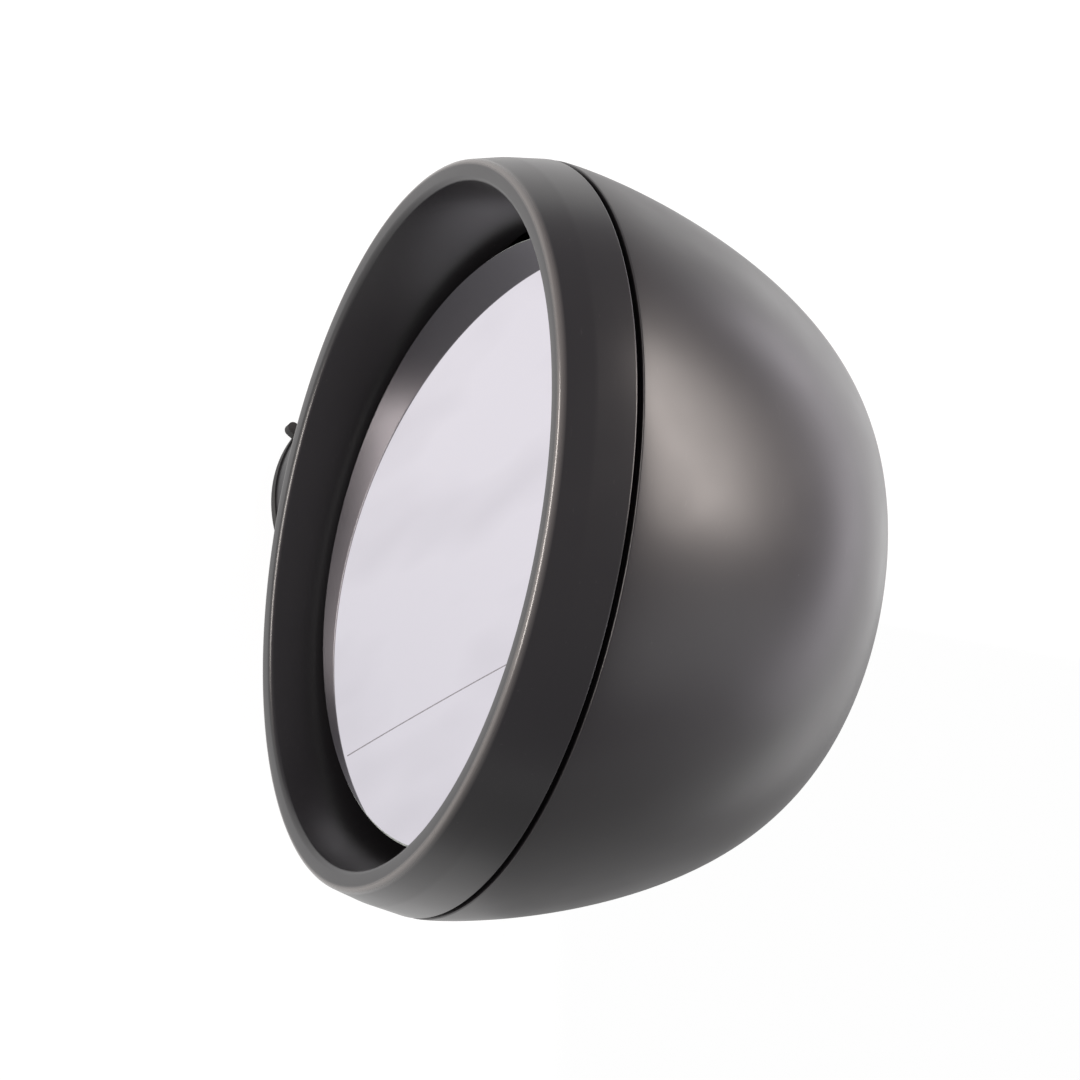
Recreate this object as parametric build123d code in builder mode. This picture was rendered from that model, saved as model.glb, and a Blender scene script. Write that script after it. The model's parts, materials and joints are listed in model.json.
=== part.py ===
from build123d import *
import os
from math import atan2, cos, degrees, pi, radians, sin, sqrt

# Round exterior door mirror, right-hand side, all sizes in millimetres.
# +X points outboard, +Y to the front of the vehicle, +Z up. The glass faces -Y.
# The origin is the centre of the foot's mounting face, on the fold axis.

# Where the head stands on its foot
head_offset = 47.7          # head axis, outboard of the fold axis
neck_length = 18.9          # neck between the foot and the dome, on the fold axis

# Housing shell: a dome a little blunter than a ball
dome_depth = 80.0
dome_start = 14.9           # depth of the shell's front edge behind the lip plane
dome_bluntness = 0.6        # exponents of the dome's curve
dome_rise = 1.45
shell_wall = 2.6
neck_wall = 2.9
neck_round = 4.0            # fillet where the neck meets the dome
shell_boss_radius = 4.0

# Bezel ring: outer skirt, rolled lip and a funnel down to the glass
seam_gap = 1.2
hollow_front = 3.0          # where the hollow behind the lip begins
lip_front = 2.4             # how far the lip stands in front of its plane
lip_width = 3.8
skirt_flare = 3.6           # seam's radius over the lip's
funnel_flare = 4.3          # lip's inner radius over the funnel's end
lip_outer_round = 2.4
lip_inner_round = 1.2
funnel_clearance = 2.3      # round the glass, for its tilt
funnel_depth = 20.5
bezel_wall = 1.8
lap_length = 7.8            # tongue of the bezel inside the shell's edge
lap_clearance = 0.3
snap_back = 2.5             # middle of the snaps in front of the tongue's end
snap_count = 6
snap_width = 9.0
snap_height = 1.4
snap_length = 1.8

# Mirror glass and what carries it
glass_radius = 66.0
glass_thickness = 2.0
glass_curvature = 1400.0
glass_depth = 16.0          # front of the glass on the head axis, behind the lip plane
glass_tilt = 9.4            # degrees, facing up
pad_inset = 4.0
pad_thickness = 0.6
carrier_inset = 1.5
carrier_thickness = 1.8
layer_gap = 0.02
tilt_lever = 9.0            # tilt centre behind the front of the glass
rib_count = 8
rib_width = 1.6
rib_height = 3.0
rib_end_radius = 58.0
rib_sink = 0.3              # how deep ribs, hub and cups start inside the carrier
hub_inner_radius = 12.0
hub_outer_radius = 15.5
hub_back = 3.2              # end of the hub behind the tilt centre

# Gimbal
post_radius = 5.0
gimbal_inner_radius = 7.5
gimbal_outer_radius = 10.5
gimbal_thickness = 4.0
gimbal_pin_radius = 1.6
running_clearance = 0.05
press_clearance = 0.02
pin_end_gap = 0.25          # ends of the pins below the surfaces round them

# Drives: two jackscrews, each with a nut wheel, a pinion and a motor
drive_radius = 27.0         # jackscrews from the tilt centre
rod_radius = 2.6
ball_radius = 3.2
cup_clearance = 1.0
cup_wall = 1.8
cup_back = 2.5
vertical_rod_back = 46.0    # rear ends of the jackscrews behind the lip plane
side_rod_back = 48.5
gear_module = 0.6
wheel_teeth = 32
pinion_teeth = 10
tooth_share = 0.4           # tooth thickness over pitch, under a half for backlash
tooth_root = 1.25           # depth of the root below the pitch circle, in modules
flank_slope = 0.36
gear_thickness = 3.8
gear_gap = 0.3              # from the wheels to the case, and from the motors to its cover
journal_radius = 5.0
motor_radius = 7.2
motor_length = 12.0
motor_boss_radius = 2.6
motor_boss_length = 0.9
shaft_radius = 0.9
shaft_depth = 4.0           # shaft inside its motor
sleeve_clearance = 0.1
sleeve_wall = 1.3
sleeve_web = 2.4            # web between a motor's sleeve and the case
terminal_hole_radius = 2.0

# Actuator case and the bracket behind it
post_front = 2.5            # end of the gimbal's post in front of the tilt centre
guide_radius = 3.8          # tubes of the cover that steady the jackscrews
guide_clearance = 0.2
case_front = 36.0
case_depth = 20.0
case_radius = 40.0
case_wall = 2.0
cover_thickness = 2.0
ear_radius = 5.0
ear_thickness = 3.5
ear_ring = 44.5             # radius of the actuator's screw circle
ear_angle = 20              # first of three
plate_overhang = 3.0        # plate past the case
plate_thickness = 5.0
plate_window = 20.0
shell_screw_ring = 49.0
shell_screw_angle = 80      # first of three
seat_gap = 0.05             # between faces that bear on each other

# Screws
screw_radius = 1.5
screw_head_radius = 3.0
screw_head_height = 2.0
screw_socket = 1.25
screw_bite = 9.0            # shank beyond the clamped piece

# Foot and fold pivot
gasket_thickness = 2.0
gasket_edge = 0.4           # gasket showing past the foot
pip_radius = 1.3
pip_length = 2.6            # pip past the gasket's edge
pip_angle = 235.0
foot_radius = 27.8
flange_height = 8.0
flange_round = 1.0
foot_top = 26.0
foot_top_edge = 0.8         # foot's top past the seal's groove
bearing_clearance = 0.06
spigot_radius = 9.0
cable_bore = 6.5
chamber_gap = 2.6           # round the spring
chamber_top = 17.0
bolt_ring = 43.0            # pitch circle of the mounting screws
bolt_hole_radius = 2.5
bolt_depth = 8.5
bolt_clearance_radius = 3.3
bolt_angle = 90             # first of three
boss_wall = 6.0
boss_clearance = 0.6        # between the boss and the neck
boss_front_gap = 1.5        # between the boss and the bezel's tongue
boss_relief = 1.2           # boss's shoulder, lowered to clear the edge of the tilted glass
washer_thickness = 1.0
washer_clearance = 0.2
circlip_thickness = 1.0
circlip_depth = 0.8
circlip_width = 2.0         # past the spigot
circlip_mouth = 5.0
lug_radius = 1.8
lug_hole_radius = 0.8
lug_reach = 1.5             # middle of the lugs past the spigot
lug_angle = 30.0            # lugs, either side of the mouth
spring_wire = 1.25
spring_turns = 3.5
spring_clearance = 0.4
seal_width = 1.7
seal_gap = 0.9              # between the boss and the seal
seal_groove = 1.0
neck_gap = 0.6
arm_width = 22.0
arm_clearance = 0.8
arm_front = 2.0             # arm's front face, behind the fold axis
arm_thickness = 10.5
arm_root = 8.0              # arm's root past the plate's window
arm_shoulder = 16.0         # outer bend of the arm past the case
arm_elbow = 9.0             # inner bend of the arm past the case, and its reach over the boss
arm_step = 8.0              # from the plate forward to the inner bend
web_height = 10.0           # boss's half-round web above its top
through = 1.0               # how far cuts run past the faces they open

# Worked-out sizes
funnel_radius = glass_radius + funnel_clearance
lip_inner_radius = funnel_radius + funnel_flare
lip_outer_radius = lip_inner_radius + lip_width
seam_radius = lip_outer_radius + skirt_flare
pad_radius = glass_radius - pad_inset
carrier_radius = glass_radius - carrier_inset
bearing_radius = spigot_radius + bearing_clearance
boss_radius = spigot_radius + boss_wall
neck_radius = boss_radius + boss_clearance + neck_wall
seal_inner_radius = boss_radius + seal_gap
seal_outer_radius = seal_inner_radius + seal_width
foot_top_radius = seal_outer_radius + foot_top_edge
chamber_radius = spigot_radius + spring_clearance + 2 * spring_wire + chamber_gap
gasket_radius = foot_radius + gasket_edge
pip_reach = gasket_radius + pip_length
neck_bottom = foot_top + neck_gap
boss_top = neck_bottom + neck_length
seam_gap_depth = dome_start - seam_gap
tongue_end = seam_gap_depth + lap_length
fold_depth = tongue_end + boss_front_gap + boss_radius      # fold axis, behind the lip plane


def dome_radius(inset, depth):
    # Radius of the dome, moved in by the inset, at a depth behind the lip plane.
    rise = ((depth - dome_start) / (dome_depth - inset)) ** (1 / dome_rise)
    return (seam_radius - inset) * sqrt(1 - rise ** 2) ** dome_bluntness


# Worked-out places
lip_y = -fold_depth
head_height = boss_top + sqrt(dome_radius(0, fold_depth) ** 2 - head_offset ** 2)
head_centre = Vector(head_offset, lip_y, head_height)
head_axis = Axis(head_centre, (0, 1, 0))
head_section = Plane(origin=head_centre, x_dir=(1, 0, 0), z_dir=(0, 0, 1))
tilt_up = sin(radians(glass_tilt))
tilt_flat = cos(radians(glass_tilt))
mirror_back = Vector(0, tilt_flat, -tilt_up)       # square to the glass, rearward
mirror_up = Vector(0, tilt_up, tilt_flat)          # in the plane of the glass
glass_centre = head_centre + Vector(0, glass_depth, 0)
tilt_centre = glass_centre + mirror_back * tilt_lever
mirror_axis = Axis(tilt_centre, mirror_back)
mirror_section = Plane(origin=tilt_centre, x_dir=(1, 0, 0), z_dir=mirror_up)
hub_pin_plane = Plane(origin=tilt_centre, z_dir=mirror_up)
cross_pin_plane = Plane(origin=tilt_centre, z_dir=(1, 0, 0))
case_centre = Vector(head_offset, lip_y, tilt_centre.Z)
case_back = case_front + case_depth
plate_front = case_back + cover_thickness + seat_gap
plate_back = plate_front + plate_thickness
vertical_ball = tilt_centre - mirror_up * drive_radius
side_ball = tilt_centre + Vector(drive_radius, 0, 0)
gear_distance = gear_module * (wheel_teeth + pinion_teeth) / 2
gear_front = case_front + case_wall + gear_gap
gear_back = gear_front + gear_thickness
tilt_depth = tilt_centre.Y - lip_y
os.makedirs("parts", exist_ok=True)


def across_head(depth):
    # Plane square to the head axis; its first axis is +X, its second +Z, it faces the viewer.
    return Plane(origin=head_centre + Vector(0, depth, 0), x_dir=(1, 0, 0), z_dir=(0, -1, 0))


def across_case(depth):
    # The same, centred on the tilt centre's height.
    return Plane(origin=case_centre + Vector(0, depth, 0), x_dir=(1, 0, 0), z_dir=(0, -1, 0))


def across_mirror(distance):
    # Plane parallel to the glass, a distance behind the tilt centre.
    return Plane(origin=tilt_centre + mirror_back * distance, x_dir=(1, 0, 0), z_dir=-mirror_back)


def three_on(radius, first_angle):
    turns = [radians(first_angle + step) for step in (0, 120, 240)]
    return [(radius * cos(turn), radius * sin(turn)) for turn in turns]


def ears(ring, first_angle):
    # Three ears of a round plate, in the sketch that is open.
    with PolarLocations(ring, 3, first_angle):
        Circle(ear_radius)
        Rectangle(ring, 2 * ear_radius, align=(Align.MAX, Align.CENTER))


def in_case(point):
    # A point as a pair of coordinates on the planes of across_case.
    return (point.X - case_centre.X, point.Z - case_centre.Z)


def finish(piece, name):
    piece.part.label = name
    export_step(piece.part, f"parts/{name}.step")


def dome_face(inset):
    # Half section of the dome, moved in from the outer skin, down to the head axis.
    radius = seam_radius - inset
    depth = dome_depth - inset
    turns = [radians(angle) for angle in range(0, 90, 10)]
    curve = [(radius * cos(t) ** dome_bluntness, dome_start + depth * sin(t) ** dome_rise) for t in turns]
    crown = (0, dome_start + depth)
    with BuildLine() as outline:
        Spline(*curve, crown, tangents=[(0, 1), (-1, 0)])
        Polyline(crown, (0, dome_start), curve[0])
    make_face(outline.edges())


def sag(radius):
    return glass_curvature - sqrt(glass_curvature ** 2 - radius ** 2)


def curved_disc(front, thickness, radius):
    # Disc that follows the glass; front is its distance behind the tilt centre.
    back = front + thickness
    middle = radius / 2
    with BuildSketch(mirror_section) as layer:
        with BuildLine():
            ThreePointArc((0, front), (middle, front + sag(middle)), (radius, front + sag(radius)))
            Line((radius, front + sag(radius)), (radius, back + sag(radius)))
            ThreePointArc((radius, back + sag(radius)), (middle, back + sag(middle)), (0, back))
            Line((0, back), (0, front))
        make_face()
    revolve(layer.sketch, axis=mirror_axis)


def discs(plane, radius, height, spots=((0, 0),), mode=Mode.ADD):
    # Round bosses, or holes, on a plane.
    with BuildSketch(plane) as rounds:
        with Locations(*spots):
            Circle(radius)
    extrude(rounds.sketch, amount=height, mode=mode)


def screws(seat_plane, spots, shank):
    # Screws with their heads standing on the plane and their shanks below it.
    discs(seat_plane, screw_head_radius, screw_head_height, spots)
    discs(seat_plane, screw_radius, -shank, spots)
    with BuildSketch(seat_plane.offset(screw_head_height / 2)) as sockets:
        with Locations(*spots):
            RegularPolygon(screw_socket, 6)
    extrude(sockets.sketch, amount=screw_head_height / 2, mode=Mode.SUBTRACT)


def gear_teeth(teeth, first_angle):
    # Straight-flanked gear outline in the sketch that is open.
    pitch_radius = gear_module * teeth / 2
    root = pitch_radius - tooth_root * gear_module
    tip = pitch_radius + gear_module
    half = tooth_share * pi * gear_module / 2
    root_half = half + flank_slope * tooth_root * gear_module
    tip_half = half - flank_slope * gear_module
    start = root - gear_module / 6
    Circle(root)
    with PolarLocations(0, teeth, first_angle):
        Polygon((start, -root_half), (tip, -tip_half), (tip, tip_half), (start, root_half), align=None)


# Foot

with BuildPart() as foot:
    with BuildSketch(Plane.XZ):
        with BuildLine():
            Polyline(
                (bearing_radius, foot_top),
                (bearing_radius, chamber_top),
                (chamber_radius, chamber_top),
                (chamber_radius, gasket_thickness),
                (foot_radius, gasket_thickness),
                (foot_radius, flange_height),
            )
            Spline((foot_radius, flange_height), (foot_top_radius, foot_top), tangents=[(-0.5, 1), (-0.1, 1)])
            Line((foot_top_radius, foot_top), (bearing_radius, foot_top))
        make_face()
    revolve(axis=Axis.Z)
    rims = foot.edges().filter_by(GeomType.CIRCLE)
    wide_rims = [edge for edge in rims if edge.radius > seal_outer_radius]
    fillet([edge for edge in wide_rims if edge.center().Z > gasket_thickness], radius=flange_round)
    with BuildSketch(Plane.XY.offset(foot_top)):
        Circle(seal_outer_radius)
        Circle(seal_inner_radius, mode=Mode.SUBTRACT)
    extrude(amount=-seal_groove, mode=Mode.SUBTRACT)
    bolt_spots = three_on(bolt_ring / 2, bolt_angle)
    discs(Plane.XY.offset(gasket_thickness), bolt_hole_radius, bolt_depth, bolt_spots, Mode.SUBTRACT)
finish(foot, "foot")

with BuildPart() as foot_gasket:
    with BuildSketch(Plane.XY):
        Circle(gasket_radius)
        with PolarLocations(pip_reach - pip_radius, 1, pip_angle):
            Circle(pip_radius)
            Rectangle(2 * pip_radius, 2 * pip_radius, align=(Align.MAX, Align.CENTER))
        Circle(chamber_radius, mode=Mode.SUBTRACT)
        with Locations(*bolt_spots):
            Circle(bolt_clearance_radius, mode=Mode.SUBTRACT)
    extrude(amount=gasket_thickness)
finish(foot_gasket, "foot_gasket")

with BuildPart() as pivot_seal:
    with BuildSketch(Plane.XY.offset(foot_top - seal_groove + seat_gap)):
        Circle(seal_outer_radius - seat_gap)
        Circle(seal_inner_radius + seat_gap, mode=Mode.SUBTRACT)
    extrude(amount=seal_groove + neck_gap - 2 * seat_gap)
finish(pivot_seal, "pivot_seal")

with BuildPart() as friction_washer:
    with BuildSketch(Plane.XY.offset(foot_top)):
        Circle(boss_radius)
        Circle(bearing_radius, mode=Mode.SUBTRACT)
    extrude(amount=washer_thickness)
finish(friction_washer, "friction_washer")

# Fold pivot, hung from the bracket's spigot

boss_bottom = foot_top + washer_thickness + seat_gap
spigot_bottom = gasket_thickness - circlip_thickness
circlip_bottom = gasket_thickness
lower_washer_bottom = circlip_bottom + circlip_thickness + seat_gap
spring_bottom = lower_washer_bottom + washer_thickness + seat_gap
upper_washer_bottom = chamber_top - seat_gap - washer_thickness
spring_top = upper_washer_bottom - seat_gap
washer_outer_radius = chamber_radius - 2 * washer_clearance
coil_radius = spigot_radius + spring_clearance + spring_wire

with BuildPart() as thrust_washer:
    with BuildSketch(Plane.XY.offset(upper_washer_bottom)):
        Circle(washer_outer_radius)
        Circle(spigot_radius + washer_clearance, mode=Mode.SUBTRACT)
    extrude(amount=washer_thickness)
finish(thrust_washer, "thrust_washer")

with BuildPart() as fold_spring:
    coil_height = spring_top - spring_bottom - 2 * spring_wire - 2 * seat_gap
    coil_start = spring_bottom + spring_wire + seat_gap
    with BuildLine() as coil:
        Helix(coil_height / spring_turns, coil_height, coil_radius, center=(0, 0, coil_start))
    with BuildSketch(Plane(origin=coil.line @ 0, z_dir=coil.line % 0)):
        Circle(spring_wire)
    sweep(path=coil.line, is_frenet=True)
finish(fold_spring, "fold_spring")

with BuildPart() as spring_washer:
    with BuildSketch(Plane.XY.offset(lower_washer_bottom)):
        Circle(washer_outer_radius)
        Circle(spigot_radius + washer_clearance, mode=Mode.SUBTRACT)
    extrude(amount=washer_thickness)
finish(spring_washer, "spring_washer")

with BuildPart() as circlip:
    with BuildSketch(Plane.XY.offset(circlip_bottom)):
        Circle(spigot_radius + circlip_width)
        with Locations((spigot_radius, 0)):
            Rectangle(spigot_radius, circlip_mouth, mode=Mode.SUBTRACT)
        with PolarLocations(spigot_radius + lug_reach, 2, -lug_angle, 2 * lug_angle, endpoint=True):
            Circle(lug_radius)
            Circle(lug_hole_radius, mode=Mode.SUBTRACT)
        Circle(spigot_radius - circlip_depth + press_clearance, mode=Mode.SUBTRACT)
    extrude(amount=circlip_thickness)
finish(circlip, "circlip")

# Bracket: pivot boss and spigot, diagonal arm, plate behind the actuator

with BuildPart() as bracket:
    case_screw_spots = three_on(ear_ring, ear_angle)
    shell_screw_spots = three_on(shell_screw_ring, shell_screw_angle)
    with BuildSketch(across_case(plate_back)):
        Circle(case_radius + plate_overhang)
        ears(ear_ring, ear_angle)
        ears(shell_screw_ring, shell_screw_angle)
        Circle(plate_window, mode=Mode.SUBTRACT)
    extrude(amount=plate_thickness)
    pivot_side = Vector(-head_offset, 0, boss_top - head_height).normalized()
    arm_section = Plane(origin=head_centre, x_dir=pivot_side, z_dir=pivot_side.cross(Vector(0, 1, 0)))
    boss_reach = sqrt(head_offset ** 2 + (head_height - boss_top) ** 2)
    arm_face = fold_depth + arm_front
    with BuildSketch(arm_section):
        Polygon(
            (plate_window + arm_root, plate_front),
            (plate_window + arm_root, plate_back),
            (case_radius + arm_shoulder, plate_back),
            (boss_reach, arm_face + arm_thickness),
            (boss_reach, arm_face),
            (boss_reach - arm_elbow, arm_face),
            (case_radius + arm_elbow, plate_front - arm_step),
            (case_radius + plate_overhang, plate_front),
            align=None,
        )
    extrude(amount=arm_width / 2, both=True)
    boss_shoulder = boss_top - boss_relief
    with BuildSketch(Plane.XY.offset(boss_shoulder - through)):
        Circle(boss_radius)
        with Locations((0, arm_front)):
            Rectangle(2 * boss_radius, 2 * boss_radius, align=(Align.CENTER, Align.MAX), mode=Mode.SUBTRACT)
    extrude(amount=web_height + boss_relief + through)
    with BuildSketch(head_section):
        dome_face(shell_wall + arm_clearance)
    revolve(axis=head_axis, mode=Mode.INTERSECT)
    discs(Plane.XY.offset(boss_bottom), boss_radius, boss_shoulder - boss_bottom)
    discs(Plane.XY.offset(spigot_bottom), spigot_radius, boss_bottom - spigot_bottom)
    discs(Plane.XY.offset(spigot_bottom), cable_bore, head_height, mode=Mode.SUBTRACT)
    with BuildSketch(Plane.XY.offset(circlip_bottom - press_clearance)):
        Circle(spigot_radius + through)
        Circle(spigot_radius - circlip_depth, mode=Mode.SUBTRACT)
    extrude(amount=circlip_thickness + 2 * press_clearance, mode=Mode.SUBTRACT)
    tapped = screw_radius + running_clearance
    tapped_spots = case_screw_spots + shell_screw_spots
    discs(across_case(plate_back + through), tapped, plate_thickness + 2 * through, tapped_spots, Mode.SUBTRACT)
finish(bracket, "bracket")

# Housing shell: dome, neck, bosses for the shell screws, pockets for the bezel's snaps

tongue_radius = dome_radius(shell_wall, tongue_end) - lap_clearance
snap_middle = tongue_end - snap_back
crown_depth = dome_start + dome_depth

with BuildPart() as shell_bosses:
    discs(across_case(crown_depth), shell_boss_radius, crown_depth - plate_back - seat_gap, shell_screw_spots)
    with BuildSketch(head_section):
        dome_face(shell_wall / 2)
    revolve(axis=head_axis, mode=Mode.INTERSECT)

with BuildPart() as housing_shell:
    with BuildSketch(head_section):
        dome_face(0)
    revolve(axis=head_axis)
    discs(Plane.XY.offset(neck_bottom), neck_radius, head_height - neck_bottom)
    neck_joint = housing_shell.edges().filter_by(GeomType.BSPLINE)
    fillet(neck_joint, radius=neck_round)
    with BuildSketch(head_section):
        dome_face(shell_wall)
    revolve(axis=head_axis, mode=Mode.SUBTRACT)
    neck_inner = neck_radius - neck_wall
    discs(Plane.XY.offset(neck_bottom - through), neck_inner, head_height - neck_bottom, mode=Mode.SUBTRACT)
    add(shell_bosses.part)
    discs(across_case(plate_back + screw_bite + through), screw_radius + press_clearance,
          screw_bite + 2 * through, shell_screw_spots, Mode.SUBTRACT)
    with BuildSketch(across_head(snap_middle)):
        with PolarLocations(tongue_radius, snap_count):
            Rectangle(2 * (snap_height + lap_clearance), snap_width + 2 * lap_clearance)
    extrude(amount=snap_length / 2 + lap_clearance, both=True, mode=Mode.SUBTRACT)
finish(housing_shell, "housing_shell")

# Bezel ring

with BuildPart() as bezel_ring:
    funnel_slope = (lip_inner_radius - funnel_radius) / (funnel_depth + lip_front)
    skirt_inner = tongue_radius - bezel_wall
    hollow_inner = lip_inner_radius - funnel_slope * (hollow_front + lip_front) + bezel_wall
    with BuildSketch(head_section):
        with BuildLine():
            Polyline(
                (lip_inner_radius, -lip_front),
                (lip_outer_radius, -lip_front),
                (seam_radius, seam_gap_depth),
                (tongue_radius, seam_gap_depth),
                (tongue_radius, tongue_end),
                (skirt_inner, tongue_end),
                (skirt_inner, hollow_front),
                (hollow_inner, hollow_front),
                (funnel_radius + bezel_wall, funnel_depth),
                (funnel_radius, funnel_depth),
                (lip_inner_radius, -lip_front),
            )
        make_face()
    revolve(axis=head_axis)
    front_rims = bezel_ring.edges().filter_by(GeomType.CIRCLE).group_by(Axis.Y)[0].sort_by(SortBy.RADIUS)
    fillet(front_rims[-1], radius=lip_outer_round)
    front_rims = bezel_ring.edges().filter_by(GeomType.CIRCLE).group_by(Axis.Y)[0].sort_by(SortBy.RADIUS)
    fillet(front_rims[0], radius=lip_inner_round)
    with BuildSketch(across_head(snap_middle)):
        with PolarLocations(tongue_radius - bezel_wall / 2, snap_count):
            Rectangle(snap_height + bezel_wall / 2, snap_width, align=(Align.MIN, Align.CENTER))
    extrude(amount=snap_length / 2, both=True)
finish(bezel_ring, "bezel_ring")

# Glass, heater pad and carrier

glass_front = -tilt_lever
pad_front = glass_front + glass_thickness + layer_gap
carrier_front = pad_front + pad_thickness + layer_gap
carrier_back = carrier_front + carrier_thickness
cup_inner_radius = ball_radius + cup_clearance

with BuildPart() as mirror_glass:
    curved_disc(glass_front, glass_thickness, glass_radius)
finish(mirror_glass, "mirror_glass")

with BuildPart() as heater_pad:
    curved_disc(pad_front, pad_thickness, pad_radius)
finish(heater_pad, "heater_pad")

with BuildPart() as glass_carrier:
    curved_disc(carrier_front, carrier_thickness, carrier_radius)
    rib_start = carrier_back - rib_sink
    cup_spots = ((0, -drive_radius), (drive_radius, 0))
    with BuildSketch(across_mirror(rib_start + rib_height)):
        with PolarLocations(0, rib_count):
            Rectangle(rib_end_radius, rib_width, align=(Align.MIN, Align.CENTER))
    extrude(amount=rib_height)
    discs(across_mirror(hub_back), hub_outer_radius, hub_back - rib_start)
    discs(across_mirror(cup_back), cup_inner_radius + cup_wall, cup_back - rib_start, cup_spots)
    discs(across_mirror(hub_back), hub_inner_radius, hub_back - carrier_back, mode=Mode.SUBTRACT)
    discs(across_mirror(cup_back), cup_inner_radius, cup_back - carrier_back, cup_spots, Mode.SUBTRACT)
    with BuildSketch(hub_pin_plane):
        Circle(gimbal_pin_radius + running_clearance)
    extrude(amount=hub_outer_radius + through, both=True, mode=Mode.SUBTRACT)
finish(glass_carrier, "glass_carrier")

# Gimbal

with BuildPart() as gimbal_ring:
    discs(across_mirror(gimbal_thickness / 2), gimbal_outer_radius, gimbal_thickness)
    discs(across_mirror(gimbal_thickness / 2), gimbal_inner_radius, gimbal_thickness, mode=Mode.SUBTRACT)
    for pin_plane in (hub_pin_plane, cross_pin_plane):
        with BuildSketch(pin_plane) as pin_hole:
            Circle(gimbal_pin_radius + press_clearance)
        extrude(pin_hole.sketch, amount=gimbal_outer_radius + through, both=True, mode=Mode.SUBTRACT)
finish(gimbal_ring, "gimbal_ring")

with BuildPart() as gimbal_cross_pin:
    with BuildSketch(cross_pin_plane):
        Circle(gimbal_pin_radius)
    extrude(amount=gimbal_outer_radius - pin_end_gap, both=True)
finish(gimbal_cross_pin, "gimbal_cross_pin")

with BuildPart() as gimbal_hub_pins:
    with BuildSketch(hub_pin_plane):
        Circle(gimbal_pin_radius)
    extrude(amount=hub_outer_radius - pin_end_gap, both=True)
    with BuildSketch(hub_pin_plane):
        Circle(gimbal_pin_radius + through)
    extrude(amount=gimbal_inner_radius + pin_end_gap, both=True, mode=Mode.SUBTRACT)
finish(gimbal_hub_pins, "gimbal_hub_pins")

# Actuator case with the gimbal's post, and its cover

side_gear = in_case(side_ball)
vertical_gear = in_case(vertical_ball)
side_motor = (side_gear[0], side_gear[1] + gear_distance)
vertical_motor = (vertical_gear[0] - gear_distance, vertical_gear[1])
gear_spots = (side_gear, vertical_gear)
motor_spots = (side_motor, vertical_motor)
case_inner_radius = case_radius - case_wall
motor_front = case_back - motor_length - gear_gap

with BuildPart() as actuator_housing:
    discs(across_case(case_back), case_radius, case_depth)
    with BuildSketch(across_case(case_back + cover_thickness)):
        ears(ear_ring, ear_angle)
    extrude(amount=ear_thickness)
    discs(across_case(case_back + cover_thickness), case_inner_radius, case_depth + cover_thickness - case_wall,
          mode=Mode.SUBTRACT)
    discs(across_case(case_back + cover_thickness), case_radius, cover_thickness, mode=Mode.SUBTRACT)
    sleeve_radius = motor_radius + sleeve_clearance + sleeve_wall
    discs(across_case(case_back), sleeve_radius, case_back - motor_front, motor_spots)
    with BuildSketch(across_case(case_back)) as webs:
        for spot in motor_spots:
            reach = sqrt(spot[0] ** 2 + spot[1] ** 2)
            with PolarLocations(reach, 1, degrees(atan2(spot[1], spot[0]))):
                Rectangle(case_inner_radius - reach, sleeve_web, align=(Align.MIN, Align.CENTER))
    extrude(webs.sketch, amount=case_back - motor_front)
    discs(across_case(case_back + through), motor_radius + sleeve_clearance,
          case_back + 2 * through - motor_front, motor_spots, Mode.SUBTRACT)
    discs(across_case(case_front), post_radius, case_front - tilt_depth + post_front)
    discs(across_case(case_front + case_wall + through), journal_radius + running_clearance,
          case_wall + 2 * through, gear_spots, Mode.SUBTRACT)
    discs(across_case(case_back + cover_thickness + through), tapped,
          ear_thickness + 2 * through, case_screw_spots, Mode.SUBTRACT)
    with BuildSketch(cross_pin_plane):
        Circle(gimbal_pin_radius + running_clearance)
    extrude(amount=post_radius + through, both=True, mode=Mode.SUBTRACT)
finish(actuator_housing, "actuator_housing")

with BuildPart() as actuator_cover:
    discs(across_case(case_back + cover_thickness), case_radius - running_clearance, cover_thickness - seat_gap)
    discs(across_case(case_back + seat_gap), guide_radius,
          case_back + seat_gap - gear_back - gear_gap, gear_spots)
    discs(across_case(case_back + through), rod_radius + guide_clearance, case_depth, gear_spots, Mode.SUBTRACT)
    discs(across_case(case_back + cover_thickness + through), terminal_hole_radius,
          cover_thickness + 2 * through, motor_spots, Mode.SUBTRACT)
finish(actuator_cover, "actuator_cover")

with BuildPart() as case_screws:
    screws(across_case(case_back + cover_thickness - ear_thickness - seat_gap), case_screw_spots,
           ear_thickness + plate_thickness)
finish(case_screws, "case_screws")

with BuildPart() as shell_screws:
    screws(across_case(plate_front - seat_gap), shell_screw_spots, plate_thickness + screw_bite)
finish(shell_screws, "shell_screws")

# The two drives: jackscrew, nut wheel, pinion and motor


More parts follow.
